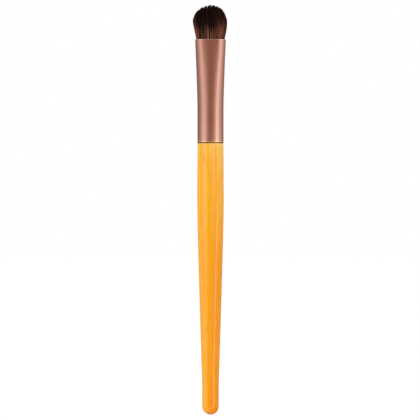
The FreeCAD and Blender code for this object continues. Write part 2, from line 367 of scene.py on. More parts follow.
@dataclass(frozen=True)
class LacqueredBamboo:
    """Turned bamboo under clear lacquer: tone bands and fibres along the rod, with short dashes, painted light
    and a painted shadow.
    """

    length: float
    # Tones up the rod on the left, in the middle and on the right, partly the bamboo's own colour and partly
    # painted light: the left side is painted paler where the left lamp falls, and the right tones end in a
    # painted highlight just below the ferrule.
    left_tones: Tones = (
        (0.09, "fbb02c"),
        (0.55, "fdad32"),
        (0.77, "feb639"),
        (0.92, "fdb93f"),
        (0.985, "fbc14d"),
        (1.0, "f7c458"),
    )
    middle_tones: Tones = (
        (0.09, "f7970d"),
        (0.55, "f4a20e"),
        (0.77, "f3a80e"),
        (0.92, "f5ae2e"),
        (0.985, "f4b94c"),
        (1.0, "f2c05c"),
    )
    right_tones: Tones = (
        (0.09, "f08f04"),
        (0.55, "ee9408"),
        (0.77, "f4a92e"),
        (0.92, "f7b043"),
        (0.985, "f2be58"),
        (1.0, "fad084"),
    )
    warm_band: str = "f99c1c"
    dark_fibre: str = "e69608"
    pale_fibre: str = "ffbe38"
    dark_dash: str = "dd9410"
    pale_dash: str = "ffcc66"
    # Painted shadow on the rod just under the ferrule's rim.
    rim_shadow: str = "7a4a1a"
    left_edge: Pair = (0.8 * MM, 1.4 * MM)
    right_edge: Pair = (-0.2 * MM, 1.0 * MM)
    # Height and strength of the painted shadow under the ferrule.
    rim_shadow_height: float = 0.45 * MM
    rim_shadow_share: float = 0.8
    band_size: Pair = (1.1 * MM, 60.0 * MM)
    band_span: Pair = (0.5, 0.6)
    band_share: float = 0.55
    fibre_size: Pair = (0.3 * MM, 13.0 * MM)
    dark_fibre_span: Pair = (0.5, 0.85)
    dark_fibre_share: float = 0.4
    pale_fibre_span: Pair = (0.5, 0.2)
    pale_fibre_share: float = 0.25
    dark_dash_size: Pair = (0.45 * MM, 7.0 * MM)
    dark_dash_span: Pair = (0.7, 0.8)
    dark_dash_share: float = 0.6
    pale_dash_size: Pair = (0.5 * MM, 3.0 * MM)
    pale_dash_span: Pair = (0.74, 0.82)
    pale_dash_share: float = 0.5
    pale_dash_heights: Pair = (0.5, 0.8)
    grain_depth: float = 0.008 * MM
    roughness: float = 0.42
    fibre_roughness: float = 0.16
    specular: float = 0.08
    coat: float = 0.36
    coat_roughness: float = 0.05

    def material(self) -> bpy.types.Material:
        """Builds the material.

        Returns:
            The finished material.
        """
        tree = MaterialTree("lacquered_bamboo")
        x, _, z = tree.parts_of(tree.place())
        share = z / self.length
        fibre = tree.streaks(*self.fibre_size, 3.0)
        band = tree.streaks(*self.band_size, 1.0)
        dark_dash = tree.step(tree.streaks(*self.dark_dash_size, 0.0), *self.dark_dash_span)
        pale_dash = tree.step(tree.streaks(*self.pale_dash_size, 0.0), *self.pale_dash_span)
        # The sides' tones carry painted light: a paler left side and a painted highlight at the top right.
        tone = tree.mix(
            tree.step(0 - x, *self.left_edge),
            tree.ramp(share, self.middle_tones),
            tree.ramp(share, self.left_tones),
        )
        tone = tree.mix(tree.step(x, *self.right_edge), tone, tree.ramp(share, self.right_tones))
        warm = self.band_share * tree.step(band, *self.band_span)
        tone = tree.mix(warm, tone, paint(self.warm_band))
        dark = self.dark_fibre_share * tree.step(fibre, *self.dark_fibre_span)
        tone = tree.mix(dark, tone, paint(self.dark_fibre))
        pale = self.pale_fibre_share * tree.step(fibre, *self.pale_fibre_span)
        tone = tree.mix(pale, tone, paint(self.pale_fibre))
        tone = tree.mix(self.dark_dash_share * dark_dash, tone, paint(self.dark_dash))
        pale_dash = self.pale_dash_share * pale_dash * tree.step(share, *self.pale_dash_heights)
        tone = tree.mix(pale_dash, tone, paint(self.pale_dash))
        # Painted shadow on the rod just under the ferrule's lower rim.
        rim_shadowed = tree.step(z, self.length - self.rim_shadow_height, self.length - 0.2 * self.rim_shadow_height)
        tone = tree.mix(self.rim_shadow_share * rim_shadowed, tone, paint(self.rim_shadow))
        wood = tree.add(
            "ShaderNodeBsdfPrincipled",
            sockets={
                "Base Color": tone,
                "Roughness": self.roughness + self.fibre_roughness * fibre,
                "Specular IOR Level": self.specular,
                "Normal": tree.bump(fibre - 0.6 * dark_dash, self.grain_depth),
                "Coat Weight": self.coat,
                "Coat Roughness": self.coat_roughness,
            },
        )
        return tree.close(wood)


@dataclass(frozen=True)
class AnodisedMetal:
    """Rose-brown anodised tube: satin skin, faint drawing lines, painted highlights at both rims and a painted
    shadow along the lower edge.
    """

    low: float
    high: float
    skin: str = "c48d7c"
    cloud: str = "bf8472"
    line: str = "d09886"
    pale: str = "d8a594"
    # Painted highlights: a paler colour at the lower rim and at the mouth's lip.
    edge: str = "f0bc98"
    lip_highlight: str = "dcae9e"
    # Painted shadow along the tube's lower edge, where it meets the rod.
    rim_shadow: str = "5f3517"
    seam: float = 0.3 * MM
    # Reach of the lower rim's painted highlight, and of the lip's.
    rim: Pair = (0.5 * MM, 0.75 * MM)
    lip_height: Pair = (0.2 * MM, 0.5 * MM)
    paler: Pair = (1.0 * MM, 10.0 * MM)
    line_size: Pair = (0.09 * MM, 9.0 * MM)
    line_share: float = 0.22
    line_depth: float = 0.002 * MM
    cloud_size: Pair = (1.6 * MM, 2.4 * MM)
    cloud_share: float = 0.35
    pale_share: float = 0.25
    lip_share: float = 0.6
    roughness: float = 0.27
    grain_roughness: float = 0.05
    seam_roughness: float = 0.25
    coat: float = 0.6
    coat_roughness: float = 0.25

    def material(self) -> bpy.types.Material:
        """Builds the material.

        Returns:
            The finished material.
        """
        tree = MaterialTree("anodised_metal")
        _, _, z = tree.parts_of(tree.place())
        lines = tree.streaks(*self.line_size, 2.0)
        cloud = tree.streaks(*self.cloud_size, 3.0)
        above = z - self.low
        seam = tree.step(above, self.seam, 0.7 * self.seam)
        colour = tree.mix(self.cloud_share * cloud, paint(self.skin), paint(self.cloud))
        colour = tree.mix(self.line_share * lines, colour, paint(self.line))
        pale = self.pale_share * tree.step(above, *reversed(self.paler))
        colour = tree.mix(pale, colour, paint(self.pale))
        # Painted highlights: paler metal at the lower rim and at the mouth's lip.
        colour = tree.mix(tree.step(above, *reversed(self.rim)), colour, paint(self.edge))
        lip_highlight = self.lip_share * tree.step(self.high - z, *reversed(self.lip_height))
        colour = tree.mix(lip_highlight, colour, paint(self.lip_highlight))
        # Painted shadow along the lower edge, mottled by the clouds; the metal is also rougher there.
        colour = tree.mix(seam * (0.5 + 0.7 * cloud), colour, paint(self.rim_shadow))
        grain = self.roughness + self.grain_roughness * lines + self.grain_roughness * cloud
        metal = tree.add(
            "ShaderNodeBsdfPrincipled",
            sockets={
                "Base Color": colour,
                "Metallic": 1.0,
                "Roughness": grain + self.seam_roughness * seam,
                "Normal": tree.bump(lines, self.line_depth),
                "Coat Weight": self.coat,
                "Coat Roughness": self.coat_roughness,
            },
        )
        return tree.close(metal)


@dataclass(frozen=True)
class CuredAdhesive:
    """Amber adhesive with small bubbles and a wavy, glossy skin."""

    thin: str = "e2cf97"
    thick: str = "c9a75e"
    bubble: str = "f5ecd0"
    cloud_size: float = 1.1 * MM
    bubble_size: float = 0.25 * MM
    wave_depth: float = 0.03 * MM

    def material(self) -> bpy.types.Material:
        """Builds the material.

        Returns:
            The finished material.
        """
        tree = MaterialTree("cured_adhesive")
        cloud = tree.streaks(self.cloud_size, self.cloud_size, 2.0)
        bubbles = tree.step(tree.streaks(self.bubble_size, self.bubble_size, 0.0), 0.68, 0.75)
        colour = tree.mix(cloud, paint(self.thin), paint(self.thick))
        colour = tree.mix(0.5 * bubbles, colour, paint(self.bubble))
        resin = tree.add(
            "ShaderNodeBsdfPrincipled",
            sockets={
                "Base Color": colour,
                "Roughness": 0.16 + 0.2 * bubbles,
                "Normal": tree.bump(cloud - bubbles, self.wave_depth),
            },
        )
        return tree.close(resin)


@dataclass(frozen=True)
class BindingYarn:
    """Twisted pale yarn: slanting plies under loose fibre ends."""

    # Painted shade in the twist's hollows, then the plies' crowns and the loose fibres.
    hollow_shade: str = "a89c86"
    crown: str = "ded4bf"
    fluff: str = "efe8d8"
    ply: float = 0.3 * MM
    fluff_size: float = 0.05 * MM
    twist_depth: float = 0.03 * MM

    def material(self) -> bpy.types.Material:
        """Builds the material.

        Returns:
            The finished material.
        """
        tree = MaterialTree("binding_yarn")
        plies = tree.add(
            "ShaderNodeTexWave",
            {"wave_type": "BANDS", "bands_direction": "DIAGONAL"},
            {"Vector": tree.place(), "Scale": 1 / (5 * self.ply), "Distortion": 0.6},
        )
        twist = Quantity(tree, plies.outputs["Fac"])
        fuzz = tree.streaks(self.fluff_size, self.fluff_size, 2.0)
        # The twist's hollows are painted in shade.
        colour = tree.mix(twist, paint(self.hollow_shade), paint(self.crown))
        colour = tree.mix(0.4 * fuzz, colour, paint(self.fluff))
        yarn = tree.add(
            "ShaderNodeBsdfPrincipled",
            sockets={
                "Base Color": colour,
                "Roughness": 0.75 + 0.2 * fuzz,
                "Normal": tree.bump(twist + 0.3 * fuzz, self.twist_depth),
            },
        )
        return tree.close(yarn)


@dataclass(frozen=True)
class DyedFilament:
    """Brown filament with dark tips, painted light on its feet. A strand's tone, 0 to 1, picks its browns at
    foot and tip.
    """

    # Browns at the foot: the dark ones are the dye; the grey-brown is a painted highlight, and the reds and
    # oranges are painted light through the hair at the sides.
    foot_browns: Tones = (
        (0.0, "1f0c06"),
        (0.2, "42200f"),
        (0.38, "ac745f"),
        (0.5, "ac745f"),
        (0.62, "4e2218"),
        (0.74, "8a4b3b"),
        (0.84, "c07a64"),
        (0.92, "6a361c"),
        (1.0, "a05c34"),
    )
    tip_browns: Tones = (
        (0.0, "1f0e08"),
        (0.5, "25120b"),
        (0.74, "361a12"),
        (1.0, "2c140a"),
    )
    # Painted shade where the hair leaves the mouth.
    mouth_shade: str = "2a120a"
    # Heights up the strand over which the feet's painted light gives way to the tips' browns.
    fade: Pair = (0.08, 0.5)
    # Heights and strength of the painted shade at the mouth.
    mouth_shade_span: Pair = (0.015, 0.06)
    mouth_shade_share: float = 0.3
    roughness: float = 0.45
    specular: float = 0.08

    def material(self) -> bpy.types.Material:
        """Builds the material.

        Returns:
            The finished material.
        """
        tree = MaterialTree("dyed_filament")
        dye_and_light = tree.carried("dye_and_light")
        height = tree.carried("height")
        # The feet's grey, red and orange browns are painted light, fading into the dark tips.
        foot = tree.ramp(dye_and_light, self.foot_browns)
        brown = tree.mix(tree.step(height, *self.fade), foot, tree.ramp(dye_and_light, self.tip_browns))
        # Painted shade on the lowest part of the hair, just above the mouth.
        free = 1 - self.mouth_shade_share + self.mouth_shade_share * tree.step(height, *self.mouth_shade_span)
        hair = tree.add(
            "ShaderNodeBsdfPrincipled",
            sockets={
                "Base Color": tree.mix(free, paint(self.mouth_shade), brown),
                "Roughness": self.roughness,
                "Specular IOR Level": self.specular,
            },
        )
        return tree.close(hair)


class DyeAndLight(Enum):
    """The browns of the filament, as places on its ramps: dark is the dye, grey a painted highlight, red and
    orange painted light.
    """

    DARK = 0.1
    GREY = 0.44
    RED = 0.74
    ORANGE = 0.97


@dataclass
class Strands:
    """A set of filaments: centrelines with their radius, dye and height at every ring.

    lines is (strands, rings, 3), radii and heights are (strands, rings), and dyes is (strands,). The map
    and strand sizes are shares of the square that the colours are baked on.
    """

    lines: np.ndarray
    radii: np.ndarray
    heights: np.ndarray
    dyes_and_light: np.ndarray
    sides: int = 3
    map_margin: float = 0.02
    map_width: float = 0.92
    map_height: float = 0.94
    strand_width: float = 0.03
    strand_lift: float = 0.006

    def chosen(self, wanted: np.ndarray) -> "Strands":
        """Picks some of the strands.

        Args:
            wanted: True for each strand that is kept.

        Returns:
            Those strands.
        """
        return Strands(
            self.lines[wanted], self.radii[wanted], self.heights[wanted], self.dyes_and_light[wanted], self.sides
        )

    def build(self, name: str, material: bpy.types.Material) -> bpy.types.Object:
        """Makes one mesh of closed thin tubes.

        Args:
            name: The piece's name.
            material: Its finish.

        Returns:
            The new object, in the scene.
        """
        strands, rings = self.radii.shape
        turns = np.arange(strands)[:, None] * GOLDEN_ANGLE + np.arange(self.sides) * TURN / self.sides
        spokes = np.stack([np.cos(turns), np.sin(turns), np.zeros_like(turns)], axis=2)
        points = self.lines[:, :, None, :] + self.radii[:, :, None, None] * spokes[:, None, :, :]
        mesh = bpy.data.meshes.new(name)
        mesh.from_pydata(points.reshape(-1, 3).tolist(), [], self._faces(strands, rings))
        mesh.polygons.foreach_set("use_smooth", np.ones(len(mesh.polygons), dtype=bool))
        dyes_and_light = np.broadcast_to(self.dyes_and_light[:, None, None], (strands, rings, self.sides))
        heights = np.broadcast_to(self.heights[:, :, None], (strands, rings, self.sides))
        for carried, values in (("dye_and_light", dyes_and_light), ("height", heights)):
            numbers = mesh.attributes.new(carried, "FLOAT", "POINT")
            numbers.data.foreach_set("value", values.astype(np.float32).ravel())
        self._add_bake_map(mesh, dyes_and_light, heights)
        mesh.materials.append(material)
        piece = bpy.data.objects.new(name, mesh)
        bpy.context.scene.collection.objects.link(piece)
        return piece

    def _faces(self, strands: int, rings: int) -> list[list[int]]:
        """Lists the tubes' faces: their walls and both end caps.

        Args:
            strands: How many tubes there are.
            rings: How many rings of points each tube has.

        Returns:
            The faces' point numbers.
        """
        first = np.arange(strands)[:, None] * rings * self.sides
        ring = np.repeat(np.arange(rings - 1), self.sides) * self.sides
        side = np.tile(np.arange(self.sides), rings - 1)
        after = (side + 1) % self.sides
        wall = np.stack([ring + side, ring + after, ring + after + self.sides, ring + side + self.sides], 1)
        foot = np.arange(self.sides)[::-1]
        tip = np.arange(self.sides) + (rings - 1) * self.sides
        walls = (first[:, :, None] + wall).reshape(-1, 4).tolist()
        return walls + (first + foot).tolist() + (first + tip).tolist()

    def _add_bake_map(self, mesh: bpy.types.Mesh, dyes_and_light: np.ndarray, heights: np.ndarray) -> None:
        """Lays every strand on one map by its dye and height, which are all that its colour depends on.

        Args:
            mesh: The tubes.
            dyes_and_light: The dye of every point.
            heights: The height of every point.
        """
        spread = np.arange(self.sides) / (self.sides - 1)
        lift = self.strand_lift * (np.arange(self.sides) == 1)
        across = self.map_margin + self.map_width * dyes_and_light + self.strand_width * spread
        upward = self.map_margin + self.map_height * heights + lift
        places = np.stack([across, upward], axis=3).reshape(-1, 2)
        corners = np.zeros(len(mesh.loops), dtype=np.int32)
        mesh.loops.foreach_get("vertex_index", corners)
        layer = mesh.uv_layers.new(name=BAKE_MAP)
        layer.data.foreach_set("uv", places[corners].astype(np.float32).ravel())


def half_section(node: str, low: float, high: float) -> Pair:
    """Measures a node between two heights.

    Args:
        node: The node's name.
        low: The lower height.
        high: The upper height.

    Returns:
        Half its width along X and half its depth along Y.
    """
    points = np.array([vertex.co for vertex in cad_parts[node].data.vertices])
    slab = points[(points[:, 2] >= low) & (points[:, 2] <= high)]
    return float(np.abs(slab[:, 0]).max()), float(np.abs(slab[:, 1]).max())


def around(turns: np.ndarray) -> np.ndarray:
    """Gives the points at some angles round a circle of radius 1."""
    return np.stack([np.cos(turns), np.sin(turns)], axis=1)


def within(points: np.ndarray, limit: float) -> np.ndarray:
    """Draws points of a plane into a circle.

    Args:
        points: The points, (count, 2).
        limit: The circle's radius.

    Returns:
        The points, none further out than the limit.
    """
    reach = np.linalg.norm(points, axis=1, keepdims=True)
    return points * np.minimum(1.0, limit / np.maximum(reach, TINY))


def eased(values: np.ndarray, low: float, high: float) -> np.ndarray:
    """Makes a smooth step.

    Args:
        values: What is compared.
        low: Where the step starts, at 0.
        high: Where it ends, at 1.

    Returns:
        Values from 0 to 1.
    """
    share = np.clip((values - low) / (high - low), 0, 1)
    return share * share * (3 - 2 * share)


def scatter(draw: np.random.Generator, count: int, unevenness: float) -> np.ndarray:
    """Spreads points over a disc of radius 1.

    Args:
        draw: The random numbers.
        count: How many points there are.
        unevenness: How far they stray from an even spread, as a share of their spacing.

    Returns:
        The points, (count, 2).
    """
    number = np.arange(count)
    even = np.sqrt((number + 0.5) / count)[:, None] * around(number * GOLDEN_ANGLE)
    return within(even + draw.normal(0, unevenness / math.sqrt(count), even.shape), 1.0)


def dress(node: str, material: bpy.types.Material) -> None:
    """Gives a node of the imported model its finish.

    Args:
        node: The node's name.
        material: Its finish.
    """
    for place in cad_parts[node].material_slots:
        place.material = material
    LOG.info("%s: %s", node, material.name)


@dataclass
class Handle:
    """The turned bamboo rod."""

    length: float = field(init=False)

    def __post_init__(self) -> None:
        """Measures the rod up to the ferrule."""
        self.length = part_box("ferrule")[0].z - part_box("handle")[0].z

    def dress(self) -> None:
        """Finishes the rod."""
        dress("handle", LacqueredBamboo(self.length).material())


@dataclass
class Ferrule:
    """The pressed tube, with the adhesive and the binding that it hides."""

    low: float = field(init=False)
    high: float = field(init=False)

    def __post_init__(self) -> None:
        """Measures the tube's two rims."""
        low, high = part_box("ferrule")
        self.low = low.z
        self.high = high.z

    def dress(self) -> None:
        """Finishes the tube and what is inside it."""
        dress("ferrule", AnodisedMetal(self.low, self.high).material())
        adhesive = CuredAdhesive().material()
        dress("handle_glue", adhesive)
        dress("root_glue_plug", adhesive)
        dress("binding_thread", BindingYarn().material())


@dataclass
class Tuft:
    """The free filaments: locks of wisps that leave the oval mouth, swell out and end in a toothed dome.

    A place across the tuft is given in shares of its half width and half depth, so that each level is a disc
    of radius 1.
    """

    # How many there are of each, and the start of the random draws.
    locks: int = 80
    wisps: int = 1680
    strands_in_wisp: int = 4
    rings: int = 10
    streaks: int = 66
    seed: int = 17
    # The outline: the oval at the mouth, the swell above it, and the lean.
    foot_depth: float = 1.5 * MM
    foot_fullness: float = 2.6
    widest_share: float = 0.5
    fullness: float = 1.025
    swell_power: float = 1.2
    swell_start: float = -0.2
    edge_inset: float = 0.024 * MM
    side_lean: float = -0.2 * MM
    side_lean_span: Pair = (0.25, 0.6)
    top_lean: float = 0.4 * MM
    top_lean_span: Pair = (0.72, 0.95)
    # The locks: how they stand, draw together at the top and end in teeth.
    lock_unevenness: float = 0.22
    lock_stray: float = 0.12
    spread: float = 1.06
    tip_limit: float = 0.99
    gather: Pair = (0.3, 0.5)
    gather_power: float = 6.0
    tooth: float = 0.45 * MM
    tooth_power: float = 1.5
    rim_tooth: float = 0.5
    tip_rise: float = 0.08 * MM
    lock_lift: float = 0.07 * MM
    # The wisps in a lock, and the strands in a wisp.
    wisp_unevenness: float = 0.3
    wisp_lift: float = 0.04 * MM
    wisp_radius: float = 0.06 * MM
    tip_closing: float = 0.5
    strand_lift: float = 0.03 * MM
    strand_radius: float = 0.055 * MM
    thickness: Pair = (0.85, 1.15)
    tip_share: float = 0.45
    taper_span: Pair = (0.7, 1.1)
    ring_power: float = 1.5
    sway: float = 0.035 * MM
    sway_turns: float = 1.1
    # The browns: streaks round the tuft, the pale ones painted highlights, then the red and the orange zone
    # across it, which are painted light through the hair at the sides.
    streak_stray: float = 0.3
    pale_width: Pair = (0.32, 0.52)
    paleness: Pair = (-0.13, 0.0)
    dark_paleness: float = 0.6
    red_paleness: float = 0.4
    streak_fade: Pair = (0.9, 1.5)
    wisp_fade: Pair = (0.9, 1.1)
    wisp_tone_stray: float = 0.025
    strand_tone_stray: float = 0.02
    red_start: Pair = (0.3, 0.05)
    red_end: float = 0.95
    red_steps: Pair = (0.1, -0.06)
    red_fade: float = 0.75
    orange_end: float = -0.76
    orange_steps: Pair = (0.02, -0.03)
    orange_fade: float = 0.65
    # Two heights about the mouth, and the reach of the inner piece.
    bend_start: float = -0.3 * MM
    bend_end: float = 4.5 * MM
    core: float = 0.707
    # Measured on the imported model.
    mouth: float = field(init=False)
    free: float = field(init=False)
    widest: Pair = field(init=False)
    foot: Pair = field(init=False)

    def __post_init__(self) -> None:
        """Takes the tuft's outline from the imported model."""
        self.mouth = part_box("ferrule")[1].z
        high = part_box("bristle_tuft")[1]
        self.widest = (self.fullness * high.x, self.fullness * high.y)
        self.free = high.z - self.mouth
        roots_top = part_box("filament_roots")[1].z
        self.foot = half_section("filament_roots", roots_top - MOUTH_SLAB, roots_top)

    def half_sizes(self, rise: np.ndarray) -> tuple[np.ndarray, np.ndarray]:
        """Gives the tuft's half width and half depth.

        Args:
            rise: Heights above the mouth.

        Returns:
            The half widths and the half depths.
        """
        short = 1 - np.clip(rise / (self.widest_share * self.free), self.swell_start, 1.0)
        share = 1 - short**self.swell_power
        width, depth = (foot + (wide - foot) * share for foot, wide in zip(self.foot, self.widest))
        return width, depth

    def dome(self, reach: np.ndarray) -> np.ndarray:
        """Gives the height of the domed cut above the mouth.

        Args:
            reach: Distance from the axis, as a share of the tuft's half size.

        Returns:
            The heights.
        """
        widest_rise = self.widest_share * self.free
        return widest_rise + (self.free - widest_rise) * np.sqrt(np.clip(1 - reach**2, 0, 1))

    def lean(self, rise: np.ndarray) -> np.ndarray:
        """Gives the tuft's sideways lean: its shoulder stands out on one side and its top on the other.

        Args:
            rise: Heights above the mouth.

        Returns:
            The distances along X.
        """
        share = rise / self.free
        side = self.side_lean * eased(share, *self.side_lean_span)
        return side + self.top_lean * eased(share, *self.top_lean_span)

    def filled(self, plan: np.ndarray, rise: np.ndarray) -> np.ndarray:
        """Widens the disc's corners near the mouth, whose oval is fuller than an ellipse.

        Args:
            plan: Places across the tuft, (strands, rings, 2).
            rise: Their heights above the mouth, (strands, rings).

        Returns:
            The places, moved outwards.
        """
        reach = np.maximum(np.linalg.norm(plan, axis=2), TINY)
        heading = np.abs(plan) / reach[:, :, None]
        corner = (heading**self.foot_fullness).sum(axis=2) ** (-1 / self.foot_fullness)
        share = 1 - eased(rise / self.free, 0, self.widest_share)
        return plan * (1 + (corner - 1) * share)[:, :, None]

    def strands(self) -> tuple[Strands, np.ndarray]:
        """Lays out every filament.

        Returns:
            The strands, and how far out each one stands as a share of the half size.
        """
        draw = np.random.default_rng(self.seed)
        centre = scatter(draw, self.locks, self.lock_unevenness)
        foot = scatter(draw, self.wisps, self.wisp_unevenness)
        gaps = np.linalg.norm(foot[:, None, :] - centre[None, :, :], axis=2)
        lock = gaps.argmin(axis=1)
        out = gaps.min(axis=1) * math.sqrt(self.locks)
        gather = draw.uniform(*self.gather, self.locks)[lock][:, None]
        lean = draw.normal(0, self.lock_stray / math.sqrt(self.locks), centre.shape)[lock]
        tip = within(self.spread * (foot + lean), self.tip_limit)
        pull = within(tip + gather * (centre[lock] - foot), self.tip_limit) - tip
        reach = np.linalg.norm(tip + pull, axis=1)
        tooth = self.tooth * (1 - self.rim_tooth * reach**2) * out**self.tooth_power
        height = self.dome(reach) + self.tip_rise - tooth
        height += draw.normal(0, self.lock_lift, self.locks)[lock]
        height += draw.normal(0, self.wisp_lift, self.wisps)
        dye_and_light, fade = self._dyes_and_light(draw, foot)

        wisp = np.repeat(np.arange(self.wisps), self.strands_in_wisp)
        count = len(wisp)
        way = 1 - (1 - np.linspace(0, 1, self.rings)) ** self.ring_power
        top = height[wisp] + draw.normal(0, self.strand_lift, count)
        rise = -self.foot_depth + (top + self.foot_depth)[:, None] * way
        plan = foot[wisp][:, None, :] + (tip - foot)[wisp][:, None, :] * (way**2)[None, :, None]
        plan = self.filled(plan + pull[wisp][:, None, :] * (way**self.gather_power)[None, :, None], rise)
        splay = np.sqrt(draw.uniform(0, 1, count))[:, None] * around(draw.uniform(0, TURN, count))
        fan = splay[:, None, :] * (self.wisp_radius * (1 - self.tip_closing * way**2))[None, :, None]
        phase, heading = draw.uniform(0, TURN, (2, count))
        swing = self.sway * way * np.sin(self.sway_turns * TURN * way + phase[:, None])
        shift = fan + swing[:, :, None] * around(heading)[:, None, :]
        width, depth = self.half_sizes(rise)
        lines = np.stack(
            [
                plan[:, :, 0] * (width - self.edge_inset) + shift[:, :, 0] + self.lean(rise),
                plan[:, :, 1] * (depth - self.edge_inset) + shift[:, :, 1],
                self.mouth + rise,
            ],
            axis=2,
        )
        taper = 1 - (1 - self.tip_share) * eased(way, *self.taper_span)
        radii = self.strand_radius * draw.uniform(*self.thickness, count)[:, None] * taper
        dyes_and_light = np.clip(dye_and_light[wisp] + draw.normal(0, self.strand_tone_stray, count), 0, 1)
        heights = np.clip(fade[wisp][:, None] * rise / self.free, 0, 1)
        return Strands(lines, radii, heights, dyes_and_light), np.linalg.norm(foot, axis=1)[wisp]

    def _dyes_and_light(self, draw: np.random.Generator, foot: np.ndarray) -> tuple[np.ndarray, np.ndarray]:
        """Picks a brown for each wisp: pale and dark streaks, orange on one edge and red inside the other. The
        pale streaks are painted highlights, and the orange and red are painted light through the hair.

        Args:
            draw: The random numbers.
            foot: Where each wisp leaves the mouth.

        Returns:
            The wisps' tones, and how soon the painted light of each one fades on its way up.
        """
        edges = np.arange(self.streaks) + draw.uniform(-self.streak_stray, self.streak_stray, self.streaks)
        turn = self.streaks * (np.arctan2(foot[:, 1], foot[:, 0]) / TURN + 0.5)
        streak = np.searchsorted(edges, turn) % self.streaks
        # Pale streaks are painted highlights on the hair; the dark ones keep the dye's brown.
        pale_width = draw.uniform(*self.pale_width, self.streaks)[streak]
        pale = (turn - edges[streak - 1]) % self.streaks < pale_width
        paleness = draw.uniform(*self.paleness, self.streaks)[streak]
        fade = draw.uniform(*self.streak_fade, self.streaks)[streak]
        fade *= draw.uniform(*self.wisp_fade, self.wisps)
        across = foot[:, 0]
        # Red inside the right side and orange on the left edge: painted light through the hair at the sides.
        red = (across > draw.normal(*self.red_start, self.wisps)) & (across < self.red_end)
        orange = across < self.orange_end
        dye_and_light = np.where(pale, DyeAndLight.GREY.value + paleness, DyeAndLight.DARK.value - self.dark_paleness * paleness)
        red_side_light = DyeAndLight.RED.value + np.where(pale, *self.red_steps) + self.red_paleness * paleness
        orange_side_light = DyeAndLight.ORANGE.value + np.where(pale, *self.orange_steps)
        dye_and_light = np.where(red, red_side_light, np.where(orange, orange_side_light, dye_and_light))
        stray = draw.normal(0, self.wisp_tone_stray, self.wisps)
        return dye_and_light + stray, np.where(red, self.red_fade, np.where(orange, self.orange_fade, 1.0)) * fade

    def build(self, material: bpy.types.Material) -> None:
        """Makes the tuft's two pieces, in place of the imported tuft.

        Args:
            material: The filaments' finish.
        """
        strands, reach = self.strands()
        inner = strands.chosen(reach < self.core).build("inner_filaments", material)
        outer = strands.chosen(reach >= self.core).build("outer_filaments", material)
        for piece in (inner, outer):
            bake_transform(piece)
            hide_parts("bristle_tuft")
            LOG.info("%s: %d faces", piece.name, len(piece.data.polygons))


@dataclass
class RootBundle:
    """The filaments' fixed ends: drawn together by the binding, and spread to the mouth's oval above it."""

    strands: int = 620
    rings: int = 8
    radius: float = 0.08 * MM
    seed: int = 23
    below_tuft: float = 1.4 * MM
    dye_and_light: Pair = (DyeAndLight.DARK.value + 0.1, 0.1)

    def build(self, material: bpy.types.Material) -> None:
        """Makes the bundle.

        Args:
            material: The filaments' finish.
        """
        low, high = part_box("filament_roots")
        thread_low, thread_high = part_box("binding_thread")
        bound = half_section("filament_roots", low.z, thread_low.z)
        spread = half_section("filament_roots", high.z - MOUTH_SLAB, high.z)
        draw = np.random.default_rng(self.seed)
        number = np.arange(self.strands)
        reach = np.sqrt((number + 0.5) / self.strands)[:, None] * (1 - self.radius / bound[1])
        way = np.linspace(0, 1, self.rings)
        height = low.z + (high.z - self.below_tuft - low.z) * way
        opening = np.clip((height - thread_high.z) / (high.z - thread_high.z), 0, 1)
        width, depth = (tight + (wide - tight) * opening for tight, wide in zip(bound, spread))
        turn = number[:, None] * GOLDEN_ANGLE
        lines = np.stack(
            [
                reach * np.cos(turn) * width,
                reach * np.sin(turn) * depth,
                np.broadcast_to(height, (self.strands, self.rings)),
            ],
            axis=2,
        )
        shape = (self.strands, self.rings)
        dyes_and_light = np.clip(draw.normal(*self.dye_and_light, self.strands), 0, 1)
        bundle = Strands(lines, np.full(shape, self.radius), np.zeros(shape), dyes_and_light)
        piece = bundle.build("root_filaments", material)
        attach(piece, Body.HANDLE.value)
        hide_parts("filament_roots")
        LOG.info("%s: %d faces", piece.name, len(piece.data.polygons))


@dataclass(frozen=True)
class Glow:
    """One light on a ring of reflections, at an angle in degrees from the camera's side towards +X."""

    turn: float
    strength: float
    colour: str = "fafcff"


RING_BACK = (Glow(135, 0.42, "ffe4cc"), Glow(225, 0.35, "ffe4cc"), Glow(250, 0.5, "fff0e0"), Glow(270, 0.74))


def dimmed(glows: Sequence[Glow], limit: float) -> list[Glow]:
    """Holds lights down to a limit.

    Args:
        glows: The lights.
        limit: The brightest that any of them may be.

    Returns:
        The same lights, none brighter than the limit.
    """
    return [replace(glow, strength=min(glow.strength, limit)) for glow in glows]


def square(size: float) -> list[Vector]:
    """Gives the corners of a level square about the origin."""
    half = 0.5 * size
    return [Vector((half * x, half * y, 0)) for x, y in ((-1, -1), (1, -1), (1, 1), (-1, 1))]


